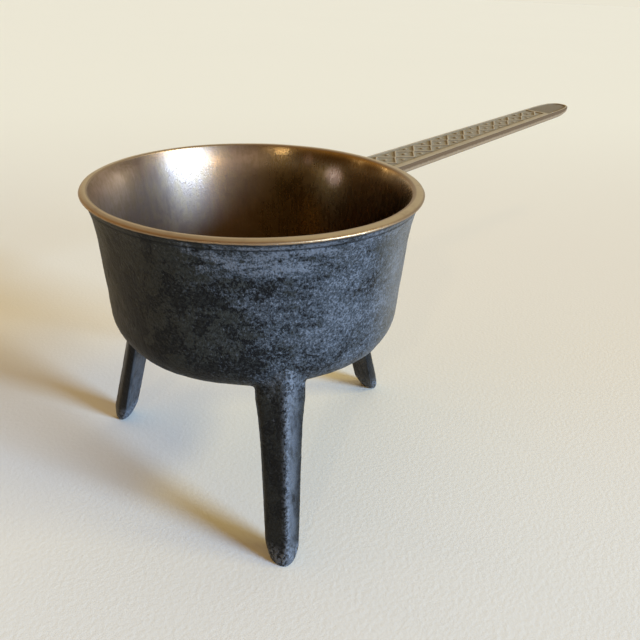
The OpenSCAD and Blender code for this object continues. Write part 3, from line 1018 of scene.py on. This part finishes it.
def handle_bronze(colours):
    """Finish of the handle: drab worn bronze, darker in the relief's recesses and browner on its sides, with
    painted shade on the relief's slopes and the top's edge, and a painted floor reflection low on the sides.
    """
    f = Finish("handle_bronze")
    relief = f.mark("relief")
    inset = f.mark("inset")
    down = f.mark("down")
    cloud = f.noise(16 * MM, 5, 0.6)
    fine = f.noise(1.8 * MM, 4, 0.6)
    top = f.between(relief + (fine - 0.5) * 0.5, 0.40, 0.95)
    tone = f.mix(top, colours.recess, colours.handle)
    tone = f.mix(f.between(cloud, 0.50, 0.70) * 0.4, tone, colours.recess)
    # Painted shade: the relief's slopes are darkened towards the sides' colour.
    slope = relief * (1 - relief) * 4
    tone = f.mix(slope * (0.35 + cloud * 0.6), tone, colours.flank_and_shade)
    # The sides grow paler towards the underside, a painted reflection of the floor; the top's rounded edge takes
    # the sides' colour, a painted shade that hides its highlight.
    side = f.mix(f.between(down + (fine - 0.5) * 0.6, 0.35, 0.95), colours.flank_and_shade, colours.floor_reflection)
    edge = f.between(inset, 0.9 * MM, 0.3 * MM)
    tone = f.mix(edge, tone, side)
    return f.finish(
        tone, 0.25 - edge * 0.25, 0.55 + fine * 0.16, f.bump(fine * 0.5 + cloud * 0.3, 0.25 * MM),
        Specular_IOR_Level=0.15)


# Stage

def floor_finish(stage):
    """Finish of the floor: pale painted board with a faint tooth; its tone shifts as painted light, darker
    beside and behind the pot and paler far behind it.
    """
    f = Finish("pale_floor")
    cloud = f.noise(0.9, 3, 0.5)
    tooth = f.noise(2.4 * MM, 2, 0.5)
    # Painted light: the floor's tone falls off beside and behind the pot and grows paler far behind it.
    tone = f.mix(f.between(f.towards(54), -2.0, 1.5), stage.floor, stage.mid_floor)
    tone = f.mix(f.between(f.towards(54), 1.0, 14.0), tone, stage.far_floor)
    tone = f.mix(cloud * 0.04, tone, (0.5, 0.46, 0.40))
    return f.finish(tone, 0.0, 0.85, f.bump(tooth, 0.12 * MM))


def aimed(name, kind, place, target):
    """An object of this light's data at a place, turned to look at a target."""
    back = np.array(place) - np.array(target)
    back = back / np.linalg.norm(back)
    side = np.cross([0, 0, 1], back)
    side = side / np.linalg.norm(side)
    turn = np.stack([side, np.cross(back, side), back], -1)
    thing = bpy.data.objects.new(name, kind)
    thing.matrix_world = Matrix([[*turn[0], place[0]], [*turn[1], place[1]], [*turn[2], place[2]], [0, 0, 0, 1]])
    bpy.context.scene.collection.objects.link(thing)
    return thing


def soft_sun(name, strength, tint, softness, turn, rise):
    """A far soft lamp that shines on the pot from a direction, in degrees."""
    light = bpy.data.lights.new(name, "SUN")
    light.angle = math.radians(softness)
    light.energy = strength
    light.color = tint
    target = np.array([AXIS_X, 0, RIM_Z / 2])
    return aimed(name, light, target + 2 * direction(turn, rise), target)


def direction(turn, rise):
    """The unit vector at an azimuth and an elevation, in degrees."""
    a, e = math.radians(turn), math.radians(rise)
    return np.array([math.cos(e) * math.cos(a), math.cos(e) * math.sin(a), math.sin(e)])


class POT_OT_stage(Operator):
    """Add the floor, the lamps and the camera."""

    bl_idname = "pot.stage"
    bl_label = "Stage"

    def execute(self, context):
        """A wide round floor, a low window, warm lamps, small far lamps, a sky and the camera."""
        stage = context.scene.pot_stage
        self.add_floor(stage)
        soft_sun("window", stage.window_power, (0.38, 0.61, 1.0), 17, -70, 14.5)
        for turn in (-59, -50, -41):
            soft_sun("lamp", stage.lamp_power / 3, (1.0, 0.88, 0.43), 9, turn, 40.5)
        soft_sun("near_glow", stage.near_power, (1.0, 0.80, 0.25), 12, -90, 12)
        soft_sun("room_glow", stage.room_power, (1.0, 0.87, 0.78), 40, -114, 13)
        for turn, rise, power in ((-148, 28, 0.20), (143, 16, 0.05), (110, 13, 0.08)):
            soft_sun("glint", power, (1.0, 0.82, 0.5), 3, turn, rise)
        self.add_sky(context.scene, stage)
        self.add_camera(context.scene, stage)
        context.scene.view_settings.view_transform = "Standard"
        return {"FINISHED"}

    def add_floor(self, stage):
        """The floor is a flat disc about the bowl's axis, its rings wider apart further out."""
        radius = stage.floor_r * np.linspace(0.02, 1, 24) ** 2
        turn = np.linspace(0, -2 * np.pi, 96, endpoint=False)
        grid = np.stack([
            AXIS_X + radius[:, None] * np.cos(turn), radius[:, None] * np.sin(turn),
            0 * radius[:, None] * turn], -1)
        mesh = bpy.data.meshes.new("floor")
        rows, columns = grid.shape[:2]
        index = np.arange(rows * columns).reshape(rows, columns)
        right = np.roll(index, -1, axis=1)
        quads = np.stack([index[:-1], right[:-1], right[1:], index[1:]], -1).reshape(-1, 4)
        mesh.from_pydata(grid.reshape(-1, 3).tolist(), [], [*quads.tolist(), index[0][::-1].tolist()])
        mesh.materials.append(floor_finish(stage))
        floor = bpy.data.objects.new("floor", mesh)
        bpy.context.scene.collection.objects.link(floor)

    def add_sky(self, scene, stage):
        """A soft room: a ceiling that is brighter on one side, and a pale backdrop in the floor's tones.

        The camera sees the backdrop alone, and reflections see it low down, over the floor's end. The
        lighting comes from the ceiling.
        """
        world = bpy.data.worlds.new("sky")
        world.use_nodes = True
        f = Finish("", world)
        way = f.add("TexCoord", out="Generated")
        up = f.add("SeparateXYZ", None, {0: way}, out="Z")
        warm = f.between(f.dot(way, direction(100, 45)), 0.0, 0.9)
        bright = f.between(f.dot(way, direction(45, 42)), 0.5, 0.95)
        ceiling = f.mix(bright, f.mix(warm, stage.sky_low, stage.sky_warm), stage.sky_bright)
        rays = [f.add("LightPath", out=f"Is {kind} Ray") for kind in ("Camera", "Glossy", "Transmission")]
        seen = rays[0] + f.between(up, 0.28, 0.02) * (rays[1] + rays[2])
        behind = f.between(f.dot(way, direction(54, 0)), 0.3, -0.3)
        tone = f.mix(seen, ceiling, f.mix(behind, stage.horizon, stage.near_horizon))
        shine = f.add("Background", None, {"Color": tone, "Strength": 1.0})
        f.end("World", shine)
        scene.world = world

    def add_camera(self, scene, stage):
        """The camera stands off the bowl's axis, looks down by its pitch and is turned by its yaw and roll."""
        a = stage.camera_turn
        heading = a + math.pi - stage.camera_yaw
        p, roll = stage.camera_pitch, stage.camera_roll
        ahead = np.array([math.cos(heading) * math.cos(p), math.sin(heading) * math.cos(p), -math.sin(p)])
        level = np.array([math.sin(heading), -math.cos(heading), 0])
        up = np.cross(level, ahead)
        right = math.cos(roll) * level + math.sin(roll) * up
        over = -math.sin(roll) * level + math.cos(roll) * up
        place = (AXIS_X + stage.camera_out * math.cos(a), stage.camera_out * math.sin(a), stage.camera_z)
        data = bpy.data.cameras.new("camera")
        data.sensor_width = 36.0
        data.lens = stage.lens
        data.clip_start = 0.01
        data.clip_end = 50.0
        camera = bpy.data.objects.new("camera", data)
        rows = np.stack([right, over, -ahead, place], -1)
        camera.matrix_world = Matrix([*rows.tolist(), [0, 0, 0, 1]])
        scene.collection.objects.link(camera)
        scene.camera = camera


class POT_PT_panel(Panel):
    """The pot's pieces and stage."""

    bl_label = "Pot"
    bl_idname = "POT_PT_panel"
    bl_space_type = "VIEW_3D"
    bl_region_type = "UI"
    bl_category = "Pot"

    def draw(self, context):
        """One button for each operator."""
        for operator in OPERATORS:
            self.layout.operator(operator.bl_idname)


OPERATORS = (POT_OT_bowl, POT_OT_legs, POT_OT_handle, POT_OT_stage)
GROUPS = {
    "pot_bowl": PotBowlSizes,
    "pot_legs": PotLegSizes,
    "pot_handle": PotHandleSizes,
    "pot_finish": PotFinish,
    "pot_stage": PotStageSizes,
}


def register():
    """Registers the groups, operators and panel."""
    for name, group in GROUPS.items():
        bpy.utils.register_class(group)
        setattr(bpy.types.Scene, name, PointerProperty(type=group))
    for kind in (*OPERATORS, POT_PT_panel):
        bpy.utils.register_class(kind)


def unregister():
    """Takes them off again."""
    for kind in (POT_PT_panel, *reversed(OPERATORS)):
        bpy.utils.unregister_class(kind)
    for name, group in GROUPS.items():
        delattr(bpy.types.Scene, name)
        bpy.utils.unregister_class(group)


def main():
    """Makes every piece and the stage."""
    register()
    bpy.ops.pot.bowl()
    bpy.ops.pot.legs()
    bpy.ops.pot.handle()
    bpy.ops.pot.stage()
    bpy.context.view_layer.update()


if __name__ == "__main__":
    main()
